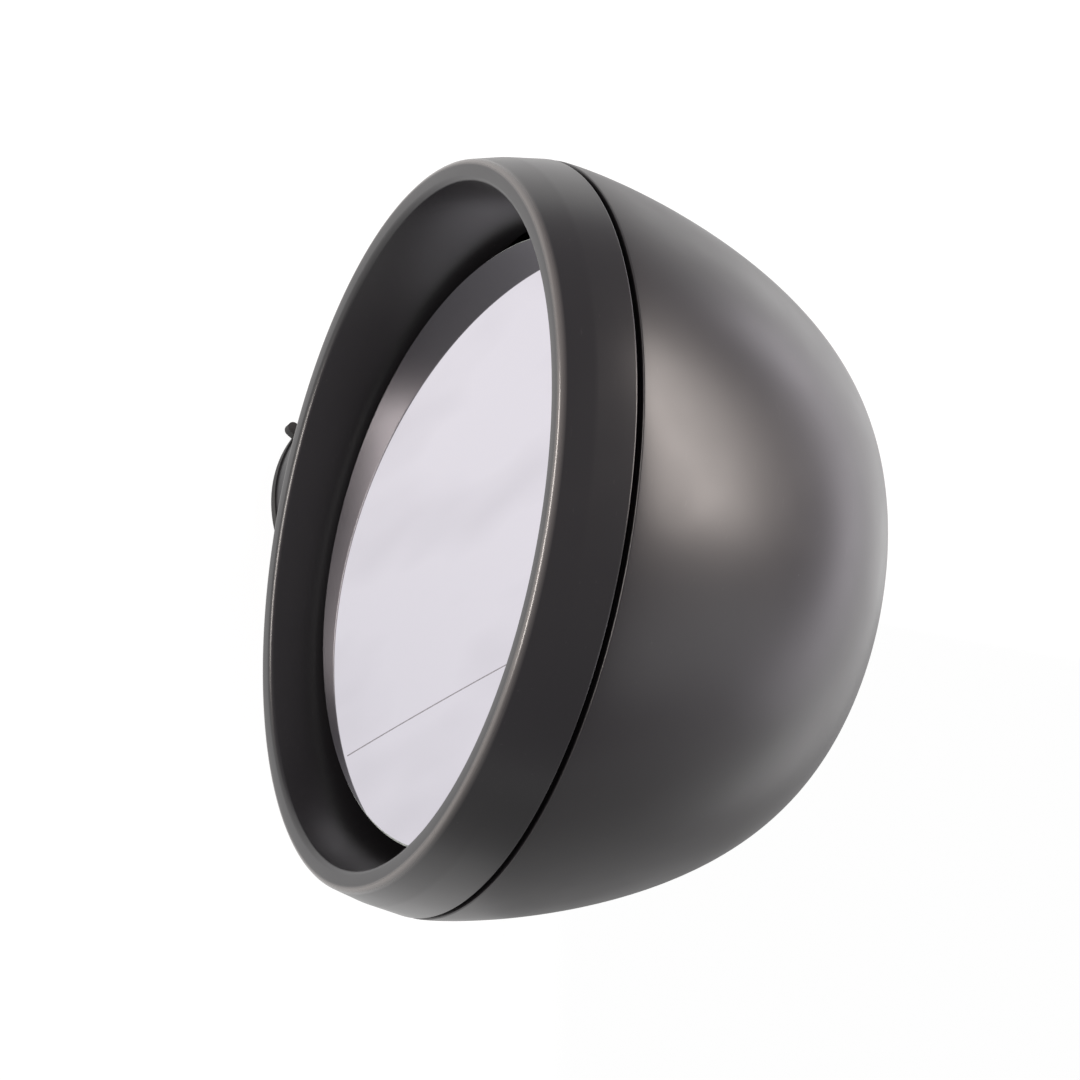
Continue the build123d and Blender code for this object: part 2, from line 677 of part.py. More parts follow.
def drive(side, ball, gear_spot, motor_spot, rod_back):
    ball_spot = Plane(origin=ball, x_dir=(1, 0, 0), z_dir=(0, -1, 0))
    to_pinion = degrees(atan2(motor_spot[1] - gear_spot[1], motor_spot[0] - gear_spot[0]))
    with BuildPart() as jackscrew:
        with Locations(ball):
            Sphere(ball_radius)
        rod_length = rod_back - (ball.Y - lip_y)
        discs(ball_spot, rod_radius, -rod_length)
    finish(jackscrew, f"{side}_jackscrew")
    with BuildPart() as nut_wheel:
        with BuildSketch(across_case(gear_back)):
            with Locations(gear_spot):
                gear_teeth(wheel_teeth, to_pinion)
        extrude(amount=gear_thickness)
        discs(across_case(gear_front), journal_radius, gear_front - case_front, (gear_spot,))
        discs(across_case(gear_back + through), rod_radius + running_clearance, case_depth, (gear_spot,),
              Mode.SUBTRACT)
    finish(nut_wheel, f"{side}_nut_wheel")
    with BuildPart() as pinion:
        with BuildSketch(across_case(gear_back)):
            with Locations(motor_spot):
                gear_teeth(pinion_teeth, to_pinion + 180 + 180 / pinion_teeth)
        extrude(amount=gear_thickness)
        shaft_end = motor_front + shaft_depth
        discs(across_case(shaft_end), shaft_radius, shaft_end - gear_back, (motor_spot,))
    finish(pinion, f"{side}_pinion")
    with BuildPart() as motor:
        discs(across_case(motor_front + motor_length), motor_radius, motor_length, (motor_spot,))
        discs(across_case(motor_front), motor_boss_radius, motor_boss_length, (motor_spot,))
        discs(across_case(motor_front + shaft_depth + through), shaft_radius + running_clearance, motor_length,
              (motor_spot,), Mode.SUBTRACT)
    finish(motor, f"{side}_motor")


drive("vertical", vertical_ball, vertical_gear, vertical_motor, vertical_rod_back)
drive("side", side_ball, side_gear, side_motor, side_rod_back)
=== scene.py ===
import bpy
import bmesh
import json
from math import cos, pi, radians, sin, sqrt, tan
from mathutils import Matrix, Vector


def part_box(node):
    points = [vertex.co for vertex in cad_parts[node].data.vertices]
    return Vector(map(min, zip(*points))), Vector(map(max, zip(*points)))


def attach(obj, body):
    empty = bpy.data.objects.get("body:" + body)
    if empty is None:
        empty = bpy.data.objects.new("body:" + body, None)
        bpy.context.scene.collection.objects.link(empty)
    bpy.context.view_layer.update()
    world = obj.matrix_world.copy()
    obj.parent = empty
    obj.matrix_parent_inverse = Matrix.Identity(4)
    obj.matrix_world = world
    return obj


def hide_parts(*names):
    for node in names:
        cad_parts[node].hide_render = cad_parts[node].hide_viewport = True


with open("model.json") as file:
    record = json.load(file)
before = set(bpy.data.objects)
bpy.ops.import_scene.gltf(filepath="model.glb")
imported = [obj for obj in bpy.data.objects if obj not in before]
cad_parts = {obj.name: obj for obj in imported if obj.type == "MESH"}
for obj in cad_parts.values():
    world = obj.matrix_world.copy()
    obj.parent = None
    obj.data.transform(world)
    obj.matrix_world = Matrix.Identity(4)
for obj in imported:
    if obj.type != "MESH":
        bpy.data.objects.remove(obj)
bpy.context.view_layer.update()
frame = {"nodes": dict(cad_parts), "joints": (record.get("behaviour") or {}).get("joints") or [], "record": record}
nodes = frame["nodes"]
mm = 0.001
print("stage: frame loaded,", len(nodes), "CAD nodes")


def srgb(hexColour):
    # hex to the linear RGBA that shader sockets take
    channels = [int(hexColour[i:i + 2], 16) / 255 for i in (0, 2, 4)]
    return [c / 12.92 if c <= 0.04045 else ((c + 0.055) / 1.055) ** 2.4 for c in channels] + [1.0]


def addNode(tree, kind, settings=None, inputs=None):
    # one node: its own properties, then its inputs, each a value or a socket to join
    node = tree.nodes.new(kind)
    for name, value in (settings or {}).items():
        setattr(node, name, value)
    for key, value in (inputs or {}).items():
        if isinstance(value, bpy.types.NodeSocket):
            tree.links.new(value, node.inputs[key])
        else:
            node.inputs[key].default_value = value
    return node


# ---- places, read from the frame: the head's axis lies along Y, the glass faces -Y

bezelLow, bezelHigh = (Vector(corner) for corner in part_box("bezel_ring"))
sealHigh = Vector(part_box("pivot_seal")[1])
head = {"lipFront": 2.4 * mm}      # the roll of the lip stands this far in front of the lip plane
headX = (bezelLow.x + bezelHigh.x) / 2
headZ = (bezelLow.z + bezelHigh.z) / 2
lipY = bezelLow.y + head["lipFront"]
seamRadius = (bezelHigh.x - bezelLow.x) / 2
headCentre = Vector((headX, lipY, headZ))

camera = {
    "toCamera": Vector((0.3875, -0.3732, 0.8429)),
    "up": Vector((-0.9217, -0.1725, 0.3474)),
    "lens": 333.0, "distance": 2.067, "aimRight": 25.6 * mm, "aimUp": -2.8 * mm,
}


def makeCamera():
    data = bpy.data.cameras.new("camera")
    data.lens = camera["lens"]
    data.clip_end = 20
    obj = bpy.data.objects.new("camera", data)
    bpy.context.collection.objects.link(obj)
    back = camera["toCamera"].normalized()
    right = camera["up"].cross(back).normalized()
    up = back.cross(right)
    target = headCentre + right * camera["aimRight"] + up * camera["aimUp"]
    turn = Matrix((right, up, back)).transposed().to_4x4()
    obj.matrix_world = Matrix.Translation(target + back * camera["distance"]) @ turn
    bpy.context.scene.camera = obj


studio = {
    "paper": "FFFFFF", "paperGlow": 0.93, "paperDiffuse": "5C5C5C",
    "world": "F7F2F8", "worldStrength": 0.48,
    "key": {"place": (-0.36, 0.90, 1.17), "size": (1.20, 0.46), "watts": 27.5, "colour": "FFF4EE"},
    "side": {"place": (0.70, 1.05, 0.75), "size": (0.80, 0.60), "watts": 2.0, "colour": "FFFFFF"},
    "back": {"place": (-0.25, 1.30, 0.14), "size": (2.00, 0.24), "watts": 7.0, "colour": "FBF4FD"},
    "front": {"place": (0.10, -1.25, 0.36), "size": (1.30, 0.22), "watts": 26.0, "colour": "FFF6F0"},
    "flag": {"low": (0.28, -0.50), "high": (1.10, 0.80), "height": 0.002,
             "colour": "3A3A3A", "glow": 0.38},
    "nearFlag": {"low": (0.00, 0.03), "high": (0.30, 0.22), "height": 0.003,
                 "colour": "3A3A3A", "glow": 0.52},
    "rimCard": {"low": (-0.45, 0.20), "high": (0.26, 0.75), "height": 0.0025,
                "colour": "5C5C5C", "glow": 2.0},
}


def makeSoftbox(name, values):
    data = bpy.data.lights.new(name, "AREA")
    data.shape = "RECTANGLE"
    data.size, data.size_y = values["size"]
    data.energy = values["watts"]
    data.color = srgb(values["colour"])[:3]
    obj = bpy.data.objects.new(name, data)
    bpy.context.collection.objects.link(obj)
    place = Vector(values["place"])
    away = (place - headCentre).normalized()
    side = Vector((0, 0, 1)).cross(away).normalized()
    turn = Matrix((side, away.cross(side), away)).transposed().to_4x4()
    obj.matrix_world = Matrix.Translation(place) @ turn


def makeCard(name, low, high, height, material):
    # a flat card on the floor, given by two corners
    mesh = bpy.data.meshes.new(name)
    corners = [(low[0], low[1]), (high[0], low[1]), (high[0], high[1]), (low[0], high[1])]
    mesh.from_pydata([(x, y, height) for x, y in corners], [], [(0, 1, 2, 3)])
    mesh.materials.append(material)
    card = bpy.data.objects.new(name, mesh)
    bpy.context.collection.objects.link(card)
    return card


def makePaper(name, colour, glow):
    material = bpy.data.materials.new(name)
    material.use_nodes = True
    shader = material.node_tree.nodes["Principled BSDF"]
    shader.inputs["Base Color"].default_value = srgb(colour)
    shader.inputs["Roughness"].default_value = 0.9
    shader.inputs["Specular IOR Level"].default_value = 0.0
    shader.inputs["Emission Color"].default_value = srgb(studio["paper"])
    shader.inputs["Emission Strength"].default_value = glow
    return material


def makeStudio():
    scene = bpy.context.scene
    scene.view_settings.view_transform = "Standard"
    world = bpy.data.worlds.new("white studio")
    scene.world = world
    world.use_nodes = True
    background = world.node_tree.nodes["Background"]
    background.inputs["Color"].default_value = srgb(studio["world"])
    background.inputs["Strength"].default_value = studio["worldStrength"]
    lit = makePaper("white paper, lit from below", studio["paperDiffuse"], studio["paperGlow"])
    makeCard("floor", (-3, -3), (3, 3), 0, lit)
    # cards that the camera doesn't see: two grey for the dome's dark side, a bright one for its rim
    for name in ("flag", "nearFlag", "rimCard"):
        flag = studio[name]
        material = makePaper(name, flag["colour"], flag["glow"])
        makeCard(name, flag["low"], flag["high"], flag["height"], material).visible_camera = False
    for name in ("key", "side", "back", "front"):
        makeSoftbox(name, studio[name])


makeCamera()
makeStudio()
print("stage: camera and studio")


# ---- materials

def newMaterial(name):
    material = bpy.data.materials.new(name)
    material.use_nodes = True
    tree = material.node_tree
    place = addNode(tree, "ShaderNodeTexCoord").outputs["Object"]
    return material, tree, tree.nodes["Principled BSDF"], place


def setShader(shader, values):
    for key, value in values.items():
        shader.inputs[key].default_value = value


def perMm(size):
    return 1 / (size * mm)      # texture scale of a feature of this size in mm


def grainBump(tree, place, sizeMm, depthMm, strength, detail=2.0):
    noise = addNode(tree, "ShaderNodeTexNoise", None,
                    {"Vector": place, "Scale": perMm(sizeMm), "Detail": detail})
    return addNode(tree, "ShaderNodeBump", None,
                   {"Height": noise.outputs["Fac"], "Distance": depthMm * mm, "Strength": strength})


def spread(tree, socket, low, high, toLow, toHigh):
    # a clamped change of range
    node = addNode(tree, "ShaderNodeMapRange", {"clamp": True},
                   {"Value": socket, "From Min": low, "From Max": high, "To Min": toLow, "To Max": toHigh})
    return node.outputs[0]


def mixColours(tree, factor, first, second):
    node = addNode(tree, "ShaderNodeMix", {"data_type": "RGBA"}, {0: factor})
    for key, value in ((6, first), (7, second)):
        if isinstance(value, bpy.types.NodeSocket):
            tree.links.new(value, node.inputs[key])
        else:
            node.inputs[key].default_value = value
    return node.outputs[2]


blackAbs = {
    "colour": "1A181A", "worn": "2C2A2C", "dust": "A8A6A2",
    "roughness": (0.33, 0.43), "grain": 0.9, "grainDepth": 0.012, "grainStrength": 0.35,
    "handledPatch": 38.0, "dustSpacing": 5.2, "dustSize": 0.022, "cleanCells": 0.45,
    "dustFaint": (0.10, 0.65),
    "scratchLong": 26.0, "scratchWide": 0.7, "scratchTurn": (0.5, 0.35, 0.9), "scratchFrom": (0.735, 0.80),
    "scratchStrength": 0.45,
}


# on the trim the lip's crest is painted a lighter grey: a painted highlight, not a colour of the plastic
trimFinish = {
    "colour": "151416", "roughness": (0.27, 0.35),
    "crest": (-2.1, -0.7), "crestRadius": (75.7, 76.4), "rubbed": "555352", "polish": -0.07,
}


def makeBlackAbs(name, values):
    # injection-moulded ABS, spark-eroded tool: satin black, even grain, a few dust specks and hairlines
    material, tree, shader, place = newMaterial(name)
    handled = addNode(tree, "ShaderNodeTexNoise", None,
                      {"Vector": place, "Scale": perMm(values["handledPatch"]), "Detail": 3.0})
    roughness = spread(tree, handled.outputs["Fac"], 0.3, 0.7, *values["roughness"])
    # dust: a few round specks, their size varied cell by cell
    specks = addNode(tree, "ShaderNodeTexVoronoi", None,
                     {"Vector": place, "Scale": perMm(values["dustSpacing"])})
    cell = addNode(tree, "ShaderNodeSeparateColor", None, {"Color": specks.outputs["Color"]})
    size = spread(tree, cell.outputs["Red"], values["cleanCells"], 1.0, 0.0, values["dustSize"])
    isDust = addNode(tree, "ShaderNodeMath", {"operation": "LESS_THAN"},
                     {0: specks.outputs["Distance"], 1: size}).outputs[0]
    faint = spread(tree, cell.outputs["Green"], 0.0, 1.0, *values["dustFaint"])
    dust = addNode(tree, "ShaderNodeMath", {"operation": "MULTIPLY"}, {0: isDust, 1: faint}).outputs[0]
    # hairlines: noise drawn out along one slanting direction
    wide = perMm(values["scratchWide"])
    slant = addNode(tree, "ShaderNodeMapping", None,
                    {"Vector": place, "Rotation": values["scratchTurn"],
                     "Scale": (perMm(values["scratchLong"]), wide, wide)})
    lines = addNode(tree, "ShaderNodeTexNoise", None,
                    {"Vector": slant.outputs[0], "Scale": 1.0, "Detail": 1.0})
    hair = spread(tree, lines.outputs["Fac"], *values["scratchFrom"], 0.0, values["scratchStrength"])
    colour = mixColours(tree, hair, srgb(values["colour"]), srgb(values["worn"]))
    if "crest" in values:      # the lip's outer edge is painted lighter, a painted highlight line along its crest; wiping also leaves it a little less rough
        fromCentre = addNode(tree, "ShaderNodeVectorMath", {"operation": "SUBTRACT"},
                             {0: place, 1: headCentre})
        flat = addNode(tree, "ShaderNodeVectorMath", {"operation": "MULTIPLY"},
                       {0: fromCentre.outputs[0], 1: (1.0, 0.0, 1.0)})
        reach = addNode(tree, "ShaderNodeVectorMath", {"operation": "LENGTH"}, {0: flat.outputs[0]})
        front = addNode(tree, "ShaderNodeSeparateXYZ", None, {0: fromCentre.outputs[0]})
        nearest, furthest = (depth * mm for depth in values["crest"])
        inner, outer = (radius * mm for radius in values["crestRadius"])
        atFront = spread(tree, front.outputs["Y"], nearest, furthest, 1.0, 0.0)
        atEdge = spread(tree, reach.outputs["Value"], inner, outer, 0.0, 1.0)
        rubbed = addNode(tree, "ShaderNodeMath", {"operation": "MULTIPLY"},
                         {0: atFront, 1: atEdge}).outputs[0]
        # painted highlight: the crest's colour is lifted towards a light grey
        colour = mixColours(tree, rubbed, colour, srgb(values["rubbed"]))
        roughness = addNode(tree, "ShaderNodeMath", {"operation": "MULTIPLY_ADD"},
                            {0: rubbed, 1: values["polish"], 2: roughness}).outputs[0]
    colour = mixColours(tree, dust, colour, srgb(values["dust"]))
    bump = grainBump(tree, place, values["grain"], values["grainDepth"], values["grainStrength"])
    setShader(shader, {"IOR": 1.53, "Specular IOR Level": 0.5})
    tree.links.new(colour, shader.inputs["Base Color"])
    tree.links.new(roughness, shader.inputs["Roughness"])
    tree.links.new(bump.outputs[0], shader.inputs["Normal"])
    return material


silveredGlass = {
    "colour": "D7D4DC", "tired": "CCC9D1", "roughness": (0.010, 0.035), "smear": 22.0,
}


def makeSilveredGlass(name, values):
    # float glass bent over a mould and silvered: a cool, faintly violet reflection with wiping smears
    material, tree, shader, place = newMaterial(name)
    drawn = addNode(tree, "ShaderNodeMapping", None, {"Vector": place, "Scale": (1.0, 1.0, 0.35)})
    smear = addNode(tree, "ShaderNodeTexNoise", None,
                    {"Vector": drawn.outputs[0], "Scale": perMm(values["smear"]), "Detail": 2.0})
    amount = spread(tree, smear.outputs["Fac"], 0.45, 0.75, 0.0, 1.0)
    roughness = spread(tree, amount, 0.0, 1.0, *values["roughness"])
    colour = mixColours(tree, amount, srgb(values["colour"]), srgb(values["tired"]))
    tree.links.new(colour, shader.inputs["Base Color"])
    tree.links.new(roughness, shader.inputs["Roughness"])
    setShader(shader, {"Metallic": 1.0})
    return material


groundEdge = {"colour": "A9B0AE", "dark": "7E8684", "roughness": 0.45, "grit": 0.5, "gritDepth": 0.02}


def makeGroundGlass(name, values):
    # ground and seamed edge of float glass: pale grey-green, matt, slightly pitted
    material, tree, shader, place = newMaterial(name)
    pits = addNode(tree, "ShaderNodeTexNoise", None,
                   {"Vector": place, "Scale": perMm(values["grit"]), "Detail": 3.0})
    colour = mixColours(tree, spread(tree, pits.outputs["Fac"], 0.35, 0.65, 0.0, 1.0),
                        srgb(values["colour"]), srgb(values["dark"]))
    tree.links.new(colour, shader.inputs["Base Color"])
    bump = addNode(tree, "ShaderNodeBump", None,
                   {"Height": pits.outputs["Fac"], "Distance": values["gritDepth"] * mm, "Strength": 0.5})
    tree.links.new(bump.outputs[0], shader.inputs["Normal"])
    setShader(shader, {"IOR": 1.52, "Roughness": values["roughness"]})
    return material


epdm = {
    "colour": "111112", "bloom": "232323", "bloomPatch": 7.0,
    "roughness": 0.72, "grain": 1.2, "grainDepth": 0.03,
}


def makeRubber(name, values):
    # moulded EPDM: matt black with a greyish bloom
    material, tree, shader, place = newMaterial(name)
    bloom = addNode(tree, "ShaderNodeTexNoise", None,
                    {"Vector": place, "Scale": perMm(values["bloomPatch"]), "Detail": 4.0})
    colour = mixColours(tree, spread(tree, bloom.outputs["Fac"], 0.4, 0.7, 0.0, 0.7),
                        srgb(values["colour"]), srgb(values["bloom"]))
    tree.links.new(colour, shader.inputs["Base Color"])
    bump = grainBump(tree, place, values["grain"], values["grainDepth"], 0.4)
    tree.links.new(bump.outputs[0], shader.inputs["Normal"])
    setShader(shader, {"IOR": 1.5, "Roughness": values["roughness"]})
    return material


coatedCasting = {
    "colour": "1D1D1F", "edge": "343437", "roughness": (0.38, 0.52), "orangePeel": 1.8, "peelDepth": 0.04,
    "coatPatch": 14.0,
}


def makeCoatedCasting(name, values):
    # zinc-aluminium die casting with black e-coat: semi-gloss, soft orange peel
    material, tree, shader, place = newMaterial(name)
    peel = addNode(tree, "ShaderNodeTexNoise", None,
                   {"Vector": place, "Scale": perMm(values["orangePeel"]), "Detail": 2.0})
    cloud = addNode(tree, "ShaderNodeTexNoise", None,
                    {"Vector": place, "Scale": perMm(values["coatPatch"]), "Detail": 3.0})
    colour = mixColours(tree, spread(tree, cloud.outputs["Fac"], 0.45, 0.75, 0.0, 0.6),
                        srgb(values["colour"]), srgb(values["edge"]))
    roughness = spread(tree, cloud.outputs["Fac"], 0.3, 0.7, *values["roughness"])
    bump = addNode(tree, "ShaderNodeBump", None,
                   {"Height": peel.outputs["Fac"], "Distance": values["peelDepth"] * mm, "Strength": 0.5})
    tree.links.new(colour, shader.inputs["Base Color"])
    tree.links.new(roughness, shader.inputs["Roughness"])
    tree.links.new(bump.outputs[0], shader.inputs["Normal"])
    setShader(shader, {"IOR": 1.5})
    return material


def makeSimpleMoulded(name, values):
    # an inner part straight from its tool: one colour, slightly clouded, with a fine grain
    material, tree, shader, place = newMaterial(name)
    cloud = addNode(tree, "ShaderNodeTexNoise", None,
                    {"Vector": place, "Scale": perMm(values["cloud"]), "Detail": 3.0})
    colour = mixColours(tree, spread(tree, cloud.outputs["Fac"], 0.35, 0.7, 0.0, 1.0),
                        srgb(values["colour"]), srgb(values["second"]))
    tree.links.new(colour, shader.inputs["Base Color"])
    bump = grainBump(tree, place, values["grain"], values["grainDepth"], 0.4)
    tree.links.new(bump.outputs[0], shader.inputs["Normal"])
    setShader(shader, values["shader"])
    return material


acetal = {   # natural acetal, moulded: waxy, slightly translucent off-white
    "colour": "D9D6CC", "second": "CBC7BA", "cloud": 9.0, "grain": 0.8, "grainDepth": 0.01,
    "shader": {"IOR": 1.48, "Roughness": 0.38, "Subsurface Weight": 0.08},
}
glassNylon = {   # glass-filled nylon, moulded: dull black, fibre-mottled
    "colour": "1B1B1D", "second": "29292C", "cloud": 1.4, "grain": 0.6, "grainDepth": 0.02,
    "shader": {"IOR": 1.53, "Roughness": 0.55},
}
heaterFilm = {   # polyester film with carbon ink: dark, smooth, adhesive-backed
    "colour": "2B2B2A", "second": "1E1E1E", "cloud": 5.0, "grain": 1.5, "grainDepth": 0.01,
    "shader": {"IOR": 1.6, "Roughness": 0.35},
}
hobbedBrass = {   # free-cutting brass, hobbed: bright yellow with fine cutter marks
    "colour": "C9A55A", "second": "B48F48", "cloud": 3.0, "grain": 0.4, "grainDepth": 0.01,
    "shader": {"Metallic": 1.0, "Roughness": 0.28},
}
zincedSteel = {   # steel, zinc-plated and passivated: grey with a bluish mottle
    "colour": "A4A8AD", "second": "8D9298", "cloud": 3.0, "grain": 0.5, "grainDepth": 0.01,
    "shader": {"Metallic": 1.0, "Roughness": 0.34},
}
springSteel = {   # oil-tempered spring wire: dark blued grey
    "colour": "5A5C61", "second": "45474B", "cloud": 2.0, "grain": 0.4, "grainDepth": 0.01,
    "shader": {"Metallic": 1.0, "Roughness": 0.36},
}
drawnSteel = {   # deep-drawn motor can: bright nickelled steel with drawing marks
    "colour": "B9BBBE", "second": "A6A8AB", "cloud": 6.0, "grain": 0.3, "grainDepth": 0.008,
    "shader": {"Metallic": 1.0, "Roughness": 0.25},
}
materials = {
    "shell": makeBlackAbs("moulded ABS, satin black", blackAbs),
    "bezel": makeBlackAbs("moulded ABS, satin black, trim", dict(blackAbs, **trimFinish)),
    "mirror": makeSilveredGlass("float glass, bent and silvered", silveredGlass),
    "ground": makeGroundGlass("float glass, ground edge", groundEdge),
    "rubber": makeRubber("EPDM, moulded", epdm),
    "casting": makeCoatedCasting("die casting, black e-coat", coatedCasting),
    "acetal": makeSimpleMoulded("acetal, moulded", acetal),
    "nylon": makeSimpleMoulded("glass-filled nylon, moulded", glassNylon),
    "film": makeSimpleMoulded("heater film, printed", heaterFilm),
    "brass": makeSimpleMoulded("brass, hobbed", hobbedBrass),
    "zinc": makeSimpleMoulded("steel, zinc-plated", zincedSteel),
    "spring": makeSimpleMoulded("spring steel, oil-tempered", springSteel),
    "can": makeSimpleMoulded("steel, deep-drawn", drawnSteel),
}
finishOfSlot = {
    "cast_aluminium": "casting", "rubber": "rubber", "nylon": "acetal", "shell_plastic": "shell",
    "bezel_plastic": "bezel", "case_plastic": "nylon", "screw_steel": "zinc", "spring_steel": "spring",
    "motor_steel": "can", "mirror_glass": "mirror", "pad_film": "film", "brass": "brass",
}
for part in frame["record"]["subparts"]:
    for materialSlot in nodes[part["node"]].material_slots:
        materialSlot.material = materials[finishOfSlot[part["material_slot"]]]
print("stage: materials on the CAD nodes")


# ---- mesh helpers

def onHead(radius, depth, angle):
    # a point of the head: radius from its axis, depth behind the lip plane, both in metres
    return Vector((headX + radius * cos(angle), lipY + depth, headZ + radius * sin(angle)))


def roundCorners(corners, steps=5):
    # corners are (radius, depth, rounding) in mm; each rounding becomes an arc of the given steps
    line = []
    count = len(corners)
    for i, (r, d, rounding) in enumerate(corners):
        here = Vector((r, d))
        before = Vector(corners[i - 1][:2]) - here
        after = Vector(corners[(i + 1) % count][:2]) - here
        if rounding == 0:
            line.append(here * mm)
            continue
        half = before.angle(after) / 2
        reach = rounding / tan(half)
        start = here + before.normalized() * reach
        end = here + after.normalized() * reach
        middle = here + (before.normalized() + after.normalized()).normalized() * (rounding / sin(half))
        a = start - middle
        b = end - middle
        for step in range(steps + 1):
            mix = step / steps
            spoke = (a * (1 - mix) + b * mix).normalized() * rounding
            line.append((middle + spoke) * mm)
    return line


def spinLoop(name, loop, place, segments, zones=None):
    # a closed loop of (radius, depth) turned round an axis; zones give each span its material slot
    mesh = bpy.data.meshes.new(name)
    form = bmesh.new()
    rings = []
    for step in range(segments):
        angle = 2 * pi * step / segments
        rings.append([form.verts.new(place(point[0], point[1], angle)) for point in loop])
    count = len(loop)
    for step in range(segments):
        here, following = rings[step], rings[(step + 1) % segments]
        for i in range(count):
            j = (i + 1) % count
            if loop[i][0] < 1e-7 and loop[j][0] < 1e-7:
                continue
            face = form.faces.new((here[i], here[j], following[j], following[i]))
            face.material_index = zones[i] if zones else 0
            face.smooth = True
    bmesh.ops.remove_doubles(form, verts=form.verts, dist=1e-6)
    bmesh.ops.recalc_face_normals(form, faces=form.faces)
    form.to_mesh(mesh)
    form.free()
    obj = bpy.data.objects.new(name, mesh)
    bpy.context.collection.objects.link(obj)
    mesh.set_sharp_from_angle(angle=radians(40))
    return obj


def bake(obj):
    # the evaluated mesh takes the place of the object's own, and its modifiers go
    evaluated = obj.evaluated_get(bpy.context.evaluated_depsgraph_get())
    mesh = bpy.data.meshes.new_from_object(evaluated)
    obj.modifiers.clear()
    obj.data = mesh
    return obj


# ---- bezel ring: lip, flared skirt, tongue under the shell, funnel to the glass

bezel = {
    "segments": 256,
    "corners": [
        (72.5, -2.4, 1.3), (76.9, -2.4, 1.3), (78.75, 5.0, 12.0), (80.0, 13.7, 0.4), (76.1, 13.7, 0.2),
        (76.1, 21.5, 0.3), (74.4, 21.5, 0.3), (74.4, 3.0, 0.6), (73.2, 3.0, 0.3), (70.1, 20.5, 0.3),
        (68.3, 20.5, 0.3),
    ],
}
bezelRing = spinLoop("bezelTrim", roundCorners(bezel["corners"]), onHead, bezel["segments"])
bezelRing.data.materials.append(materials["bezel"])
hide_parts("bezel_ring")
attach(bezelRing, "head")
print("stage: bezel")


# ---- dome: r = R cos(t)^0.6 at depth D sin(t)^1.45, by a Geometry Nodes tree

dome = {
    "radius": seamRadius, "depth": 80.0 * mm, "start": 14.9 * mm, "bluntness": 0.6, "rise": 1.45,
    "wall": 2.6 * mm, "edgeRound": 0.4 * mm, "around": 256, "along": 72,
}


def domeTree(values):
    tree = bpy.data.node_groups.new("turned dome", "GeometryNodeTree")
    sockets = {}
    for label, kind in (("Radius", "Float"), ("Depth", "Float"), ("Bluntness", "Float"), ("Rise", "Float"),
                        ("Around", "Int"), ("Along", "Int"), ("Centre", "Vector"), ("Finish", "Material")):
        sockets[label] = tree.interface.new_socket(label, in_out="INPUT", socket_type="NodeSocket" + kind)
    tree.interface.new_socket("Mesh", in_out="OUTPUT", socket_type="NodeSocketGeometry")
    given = addNode(tree, "NodeGroupInput").outputs

    def maths(operation, a, b=0.0):
        return addNode(tree, "ShaderNodeMath", {"operation": operation}, {0: a, 1: b}).outputs[0]

    # a grid of 1 by 1: its X runs round the dome, its Y from the edge to the crown
    grid = addNode(tree, "GeometryNodeMeshGrid", None,
                   {"Size X": 1.0, "Size Y": 1.0,
                    "Vertices X": given["Around"], "Vertices Y": given["Along"]})
    where = addNode(tree, "ShaderNodeSeparateXYZ", None,
                    {0: addNode(tree, "GeometryNodeInputPosition").outputs[0]}).outputs
    turn = maths("MULTIPLY", maths("ADD", where["X"], 0.5), 2 * pi)
    climb = maths("MULTIPLY", maths("ADD", where["Y"], 0.5), pi / 2)
    level = maths("MAXIMUM", maths("COSINE", climb), 0.0)
    radius = maths("MULTIPLY", given["Radius"], maths("POWER", level, given["Bluntness"]))
    depth = maths("MULTIPLY", given["Depth"], maths("POWER", maths("SINE", climb), given["Rise"]))
    point = addNode(tree, "ShaderNodeCombineXYZ", None,
                    {"X": maths("MULTIPLY", radius, maths("COSINE", turn)), "Y": depth,
                     "Z": maths("MULTIPLY", radius, maths("SINE", turn))})
    moved = addNode(tree, "ShaderNodeVectorMath", {"operation": "ADD"},
                    {0: point.outputs[0], 1: given["Centre"]})
    placed = addNode(tree, "GeometryNodeSetPosition", None,
                     {"Geometry": grid.outputs["Mesh"], "Position": moved.outputs[0]})
    joined = addNode(tree, "GeometryNodeMergeByDistance", None,
                     {"Geometry": placed.outputs[0], "Distance": 0.001 * mm})
    outward = addNode(tree, "GeometryNodeFlipFaces", None, {"Mesh": joined.outputs[0]})
    smooth = addNode(tree, "GeometryNodeSetShadeSmooth", None, {"Geometry": outward.outputs[0]})
    real = addNode(tree, "GeometryNodeRealizeInstances", None, {"Geometry": smooth.outputs[0]})
    finished = addNode(tree, "GeometryNodeSetMaterial", None,
                       {"Geometry": real.outputs[0], "Material": given["Finish"]})
    addNode(tree, "NodeGroupOutput", None, {"Mesh": finished.outputs[0]})
    return tree, {label: socket.identifier for label, socket in sockets.items()}


def makeDome(values):
    obj = bpy.data.objects.new("domeShell", bpy.data.meshes.new("domeShell"))
    bpy.context.collection.objects.link(obj)
    tree, keys = domeTree(values)
    turned = obj.modifiers.new("turned", "NODES")
    turned.node_group = tree
    inputs = {
        "Radius": values["radius"], "Depth": values["depth"], "Bluntness": values["bluntness"],
        "Rise": values["rise"], "Around": values["around"] + 1, "Along": values["along"],
        "Centre": (headX, lipY + values["start"], headZ), "Finish": materials["shell"],
    }
    for label, value in inputs.items():
        turned[keys[label]] = value
    wall = obj.modifiers.new("wall", "SOLIDIFY")
    wall.thickness = values["wall"]
    wall.offset = -1
    edge = obj.modifiers.new("edge", "BEVEL")
    edge.width = values["edgeRound"]
    edge.segments = 3
    edge.limit_method = "ANGLE"
    edge.angle_limit = radians(60)
    return bake(obj)


domeShell = makeDome(dome)
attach(domeShell, "head")
print("stage: dome", len(domeShell.data.polygons), "faces")


# ---- neck: a sleeve round the pivot boss that spreads into the dome

